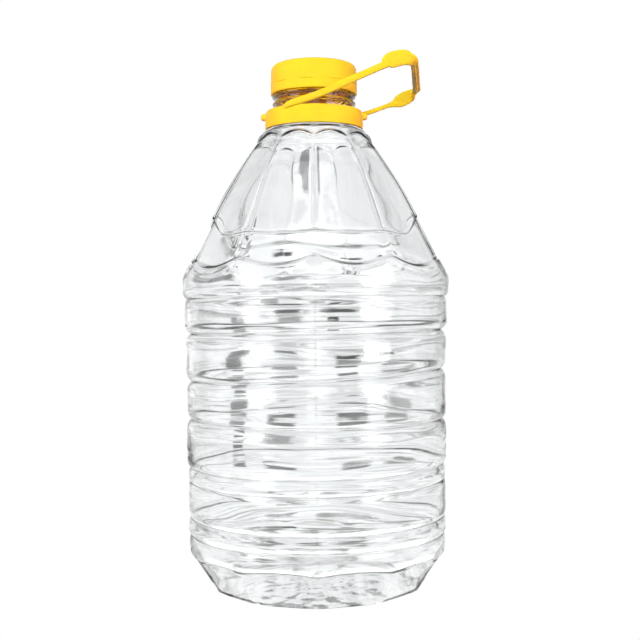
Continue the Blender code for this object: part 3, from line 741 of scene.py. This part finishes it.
# the tent's back: share of its light by the angle, brightness by the height
BACK = ((-180, 1.0), (-146, 1.0), (-132, 0.3), (-110, 0.0), (136, 0.0), (148, 0.25), (158, 1.0),
        (180, 1.0))
BACK_LEVELS = ((0.0, 1.13), (0.172, 1.13), (0.192, 1.15), (0.204, 1.02), (0.232, 0.98),
               (0.42, 0.98), (0.55, 0.4), (0.7, 0.0), (1.0, 0.0))
# how much fainter the tent's streaks are, by the height
EVEN = ((0.0, 0.0), (0.14, 0.0), (0.18, 0.75), (1.0, 0.75))
# wander of the panels' edges and level streaks: how fine along X, Y and Z, the part of the
# spots' scale that they go with, and the darkest value
WANDER = ((1.5, 1.5, 9.0), 0.3, 0.7, -1.0)
TENT_STREAKS = ((2.2, 2.2, 24.0), 0.37, 0.52, 0.34)
BRIGHTEST = 8.0                  # top of every scale of brightness


def glow_material(name):
    """Plain emitting surface."""
    made = bpy.data.materials.new(name)
    made.use_nodes = True
    made.node_tree.nodes.clear()
    out = made.node_tree.nodes.new("ShaderNodeOutputMaterial")
    glow = made.node_tree.nodes.new("ShaderNodeEmission")
    made.node_tree.links.new(glow.outputs["Emission"], out.inputs["Surface"])
    return made, made.node_tree, glow.inputs


def graded(tree, value, stops):
    """Brightness read from stops of (value from 0 to 1, brightness)."""
    shares = greys((place, level / BRIGHTEST) for place, level in stops)
    return worked_out(tree, "MULTIPLY", ramped(tree, value, shares), BRIGHTEST)


def by_angle(stops):
    """Stops by an angle in degrees, from -180 to 180, as stops from 0 to 1."""
    return [((angle + 180.0) / 360.0, level) for angle, level in stops]


def streaks(tree, axes, fineness, low, high, darkest):
    """Soft random streaks, drawn out along the axes where they are least fine."""
    place = tree.nodes.new("ShaderNodeCombineXYZ")
    for socket, axis, fine in zip(place.inputs, axes, fineness):
        tree.links.new(worked_out(tree, "MULTIPLY", axis, fine), socket)
    grain = spots(tree, place.outputs["Vector"], 1.0, 3.0, Roughness=0.55)
    return moved_range(tree, grain, low, high, darkest, 1.0)


def evened(tree, streaked, evenness):
    """Streaks made fainter by a share from 0 to 1."""
    gap = worked_out(tree, "SUBTRACT", 1.0, streaked)
    return worked_out(tree, "MULTIPLY_ADD", gap, evenness, streaked)


def tent_material():
    """Upright panels by the angle round the jug, dimmer above, with level streaks."""
    made, tree, glow = glow_material("tent_panels")
    _, x, y, z = coordinates(tree, "Object")
    angle = worked_out(tree, "ARCTAN2", x, worked_out(tree, "MULTIPLY", y, -1.0))
    turn = worked_out(tree, "MULTIPLY_ADD", angle, 0.5 / math.pi, 0.5)
    ragged = streaks(tree, (x, y, z), *WANDER)
    turn = worked_out(tree, "MULTIPLY_ADD", ragged, RAGGED / 360.0, turn)
    rise = worked_out(tree, "DIVIDE", z, TENT_R)
    heights = worked_out(tree, "DIVIDE", graded(tree, rise, LEVELS), BRIGHTEST)
    panels = worked_out(tree, "MULTIPLY", graded(tree, turn, by_angle(PANELS)), heights)
    back = worked_out(tree, "MULTIPLY", graded(tree, turn, by_angle(BACK)),
                      graded(tree, rise, BACK_LEVELS))
    level = worked_out(tree, "ADD", panels, back)
    level = worked_out(tree, "ADD", level, graded(tree, rise, UPPER_LIGHT))
    lines = evened(tree, streaks(tree, (x, y, z), *TENT_STREAKS), graded(tree, rise, EVEN))
    tree.links.new(worked_out(tree, "MULTIPLY", level, lines), glow["Strength"])
    return made


SHEET_LIGHT = 1.08
# rings of streaks, and patches: how fine from side to side, front to back and outwards
SHEET_STREAKS = ((2.0, 2.0, 10.0), 0.37, 0.51, 0.3)
SHEET_PATCHES = ((4.5, 4.5, 3.6), 0.36, 0.47, 0.0)
# all by the distance from the jug's axis in metres: how much fainter the sheet's streaks are,
# how dark the patches near the foot are, and the light of the ring in front of the foot
CALM = ((0.0, 0.8), (0.15, 0.8), (0.2, 0.1), (0.27, 0.4), (0.5, 0.4), (0.65, 0.0), (1.0, 0.0))
NEAR_FOOT = ((0.0, 0.75), (0.16, 0.75), (0.24, 0.0), (1.0, 0.0))
FOOT_RING = ((0.0, 0.0), (0.097, 0.0), (0.101, 4.8), (0.144, 4.8), (0.151, 0.0), (1.0, 0.0))
# share of that ring's light: 0 at the back, 1 at the front
FRONT_HALF = ((0.0, 0.0), (0.5, 0.0), (0.62, 1.0), (1.0, 1.0))


def sheet_material():
    """Rings of streaks round the jug's foot, with patches and a bright ring close to it."""
    made, tree, glow = glow_material("floor_sheet")
    _, x, y, _ = coordinates(tree, "Object")
    squares = (worked_out(tree, "MULTIPLY", axis, axis) for axis in (x, y))
    reach = worked_out(tree, "SQRT", worked_out(tree, "ADD", *squares))
    across, along = (worked_out(tree, "DIVIDE", axis, reach) for axis in (x, y))
    ring = worked_out(tree, "LOGARITHM", reach, math.e)
    lines = streaks(tree, (across, along, ring), *SHEET_STREAKS)
    lines = evened(tree, lines, graded(tree, reach, CALM))
    patches = streaks(tree, (across, along, ring), *SHEET_PATCHES)
    dark = worked_out(tree, "MULTIPLY", worked_out(tree, "SUBTRACT", 1.0, patches),
                      graded(tree, reach, NEAR_FOOT))
    lines = worked_out(tree, "MULTIPLY", lines, worked_out(tree, "SUBTRACT", 1.0, dark))
    front = worked_out(tree, "MULTIPLY_ADD", along, -0.5, 0.5)
    ring_light = worked_out(tree, "MULTIPLY", graded(tree, reach, FOOT_RING),
                            graded(tree, front, FRONT_HALF))
    level = worked_out(tree, "MULTIPLY_ADD", lines, SHEET_LIGHT, ring_light)
    tree.links.new(level, glow["Strength"])
    return made


CARD_STREAKS = ((60.0, 0.0, 420.0), 0.3, 0.7, 0.0)
EDGE_WANDER = 0.55               # how far they move a card's edge, over its half width
CARD_FADE = (0.95, 1.3)          # where a card starts and ends to fade, over its half width


def card_material(name, level):
    """Dim card that fades out towards an uneven edge."""
    made, tree, glow = glow_material(name)
    _, across, _, up = coordinates(tree, "Generated")
    sides = (worked_out(tree, "ABSOLUTE", worked_out(tree, "MULTIPLY_ADD", axis, 2.0, -1.0))
             for axis in (across, up))
    _, x, y, z = coordinates(tree, "Object")
    edge = worked_out(tree, "MULTIPLY_ADD", streaks(tree, (x, y, z), *CARD_STREAKS), EDGE_WANDER,
                      worked_out(tree, "MAXIMUM", *sides))
    tree.links.new(moved_range(tree, edge, *CARD_FADE, level, 1.0), glow["Strength"])
    return made


def stage_piece(name, build, material):
    """Piece of the studio."""
    mesh = bpy.data.meshes.new(name)
    build.to_mesh(mesh)
    build.free()
    piece = placed_piece(name, mesh, material)
    return piece


def glassy_only(piece):
    """Leave a piece to the rays that the clear wall mirrors or bends."""
    piece.visible_camera = False
    piece.visible_diffuse = False
    piece.visible_shadow = False


def round_sheet(radius):
    """Flat disc."""
    disc = bmesh.new()
    bmesh.ops.create_circle(disc, cap_ends=True, segments=64, radius=radius)
    return disc


shape = bmesh.new()
bmesh.ops.create_uvsphere(shape, u_segments=96, v_segments=48, radius=TENT_R)
bmesh.ops.bisect_plane(shape, geom=shape.verts[:] + shape.edges[:] + shape.faces[:],
                       plane_co=(0, 0, TENT_FOOT_Z), plane_no=(0, 0, -1), clear_outer=True)
glassy_only(stage_piece("light_tent", shape, tent_material()))
sheet = stage_piece("floor_sheet", round_sheet(SHEET_R), sheet_material())
sheet.location.z = SHEET_Z * MM
glassy_only(sheet)

CARD_Y = 120.0
# dim cards close behind the jug: left, right, foot and top in millimetres, brightness
CARDS = (
    (-66.1, -49.0, 135.6, 142.9, 0.25), (-67.7, -54.2, 118.6, 137.0, 0.25),
    (-63.3, -53.7, 112.6, 117.0, 0.2), (-65.7, -53.0, 93.4, 107.3, 0.25),
    (-62.8, -53.9, 85.2, 92.5, 0.1), (-63.7, -53.2, 77.0, 81.4, 0.2),
    (-63.8, -54.8, 65.9, 71.7, 0.12), (-63.8, -52.6, 60.7, 64.3, 0.2),
    (-62.4, -52.7, 51.0, 58.4, 0.15), (-9.8, 1.3, 259.6, 295.8, 0.2),
    (-93.7, -60.3, 195.2, 204.5, 0.25), (-33.7, -1.8, 195.4, 200.3, 0.4),
    (-42.7, -27.8, 182.5, 189.4, 0.45), (-5.6, 7.8, 182.2, 189.1, 0.4),
    (-69.4, -56.0, 183.1, 188.2, 0.25), (-33.9, -9.4, 170.2, 174.8, 0.2),
    (0.9, 33.6, 169.9, 174.4, 0.15), (-65.9, -53.2, 155.6, 168.9, 0.35),
    (9.0, 18.7, 159.4, 165.6, 0.1), (-30.3, -9.5, 158.3, 167.7, 0.5),
    (-34.2, -14.2, 137.2, 140.7, 0.3), (-35.8, -15.0, 121.3, 129.2, 0.3),
    (12.5, 32.5, 136.8, 141.4, 0.12), (13.2, 33.2, 131.2, 136.6, 0.35),
    (12.4, 31.7, 124.6, 129.9, 0.05), (48.0, 80.6, 123.5, 129.9, 0.3),
    (42.9, 60.0, 137.6, 142.7, 0.2), (-38.4, -14.6, 83.5, 93.6, 0.15),
    (14.3, 39.6, 83.8, 93.9, 0.15), (48.4, 67.7, 85.7, 93.7, 0.3),
    (-39.2, -15.4, 75.3, 82.5, 0.45), (52.2, 71.5, 94.5, 107.7, 0.45),
    (-40.9, -14.2, 49.4, 57.3, 0.1), (17.0, 41.5, 57.0, 62.0, 0.3),
    (16.9, 41.5, 50.0, 56.4, 0.15), (48.8, 77.1, 53.0, 61.0, 0.25),
    (-34.4, -5.5, 30.0, 33.5, 0.35), (-0.3, 33.8, 29.4, 33.1, 0.35),
    (-42.7, -14.5, 16.4, 20.6, 0.35), (-2.6, 52.3, 16.4, 19.6, 0.35),
    (-42.8, -13.1, 2.6, 6.1, 0.0), (-16.1, 41.8, 2.4, 5.6, 0.35),
    (-56.3, -48.8, 230.4, 244.4, 0.2), (-67.6, -51.2, 215.3, 225.5, 0.3),
    (-60.2, -47.6, 209.7, 213.3, 0.0), (-32.1, -17.2, 209.8, 213.4, 0.0),
    (16.1, 33.9, 209.4, 212.9, 0.0), (44.2, 59.1, 208.8, 212.3, 0.0),
)
for number, (left, right, foot, top, level) in enumerate(CARDS):
    shape = bmesh.new()
    corners = ((left, foot), (right, foot), (right, top), (left, top))
    shape.faces.new([shape.verts.new((x * MM, CARD_Y * MM, z * MM)) for x, z in corners])
    glassy_only(stage_piece(f"card_{number}", shape, card_material(f"card_{number}", level)))

floor = stage_piece("studio_floor", round_sheet(FLOOR_R), glow_material("white_floor")[0])
floor.location.z = FLOOR_Z * MM
floor.visible_glossy = False
floor.visible_transmission = False
floor.visible_diffuse = False

# lamps for the yellow plastic: place and size in metres, power in watts, colour
LAMPS = {
    "front_lamp": ((-0.25, -1.4, 0.75), 0.7, 21.0, (1.0, 1.0, 1.0)),
    "top_lamp": ((0.1, -0.3, 1.5), 0.7, 4.8, (1.0, 1.0, 1.0)),
    "back_lamp": ((0.3, 1.4, 0.5), 0.7, 17.0, (1.0, 0.95, 0.88)),
    "low_lamp": ((0.2, -0.6, 0.03), 0.5, 2.0, (1.0, 0.52, 0.25)),
    "left_lamp": ((-1.3, -0.1, 0.3), 0.7, 14.5, (1.0, 0.48, 0.26)),
    "right_lamp": ((1.3, -0.1, 0.3), 0.7, 13.0, (1.0, 0.48, 0.3)),
}
LAMPS_AIM = Vector((0.0, 0.0, 0.3))
for name, (place, size, power, colour) in LAMPS.items():
    lamp = bpy.data.lights.new(name, "AREA")
    lamp.shape = "SQUARE"
    lamp.size = size
    lamp.energy = power
    lamp.color = colour
    stand = bpy.data.objects.new(name, lamp)
    stand.location = place
    stand.rotation_euler = (LAMPS_AIM - Vector(place)).to_track_quat("-Z", "Y").to_euler()
    stand.visible_camera = False
    stand.visible_glossy = False
    stand.visible_transmission = False
    bpy.context.scene.collection.objects.link(stand)

world = bpy.data.worlds.new("white_surroundings")
world.use_nodes = True
surroundings = world.node_tree.nodes["Background"].inputs
surroundings["Color"].default_value = (1.0, 1.0, 1.0, 1.0)
surroundings["Strength"].default_value = 1.0
bpy.context.scene.world = world
world.cycles_visibility.diffuse = False
bpy.context.scene.view_settings.view_transform = "Standard"

# ---- camera ---------------------------------------------------------------------------------
# One camera on a level stand, at the height of the middle of the jug and about 0.68 m in front of
# its axis. The lens takes in the whole jug with room all round.

STAND = (0.0026, -0.6804, 0.1676)
NOD = -0.21                      # in degrees, below level
ROLL = -0.5

eye = bpy.data.cameras.new("camera")
eye.lens = 60.75
eye.sensor_width = 36.0
holder = bpy.data.objects.new("camera", eye)
holder.matrix_world = (Matrix.Translation(STAND)
                       @ Matrix.Rotation(math.radians(90.0 + NOD), 4, "X")
                       @ Matrix.Rotation(math.radians(ROLL), 4, "Z"))
bpy.context.scene.collection.objects.link(holder)
bpy.context.scene.camera = holder
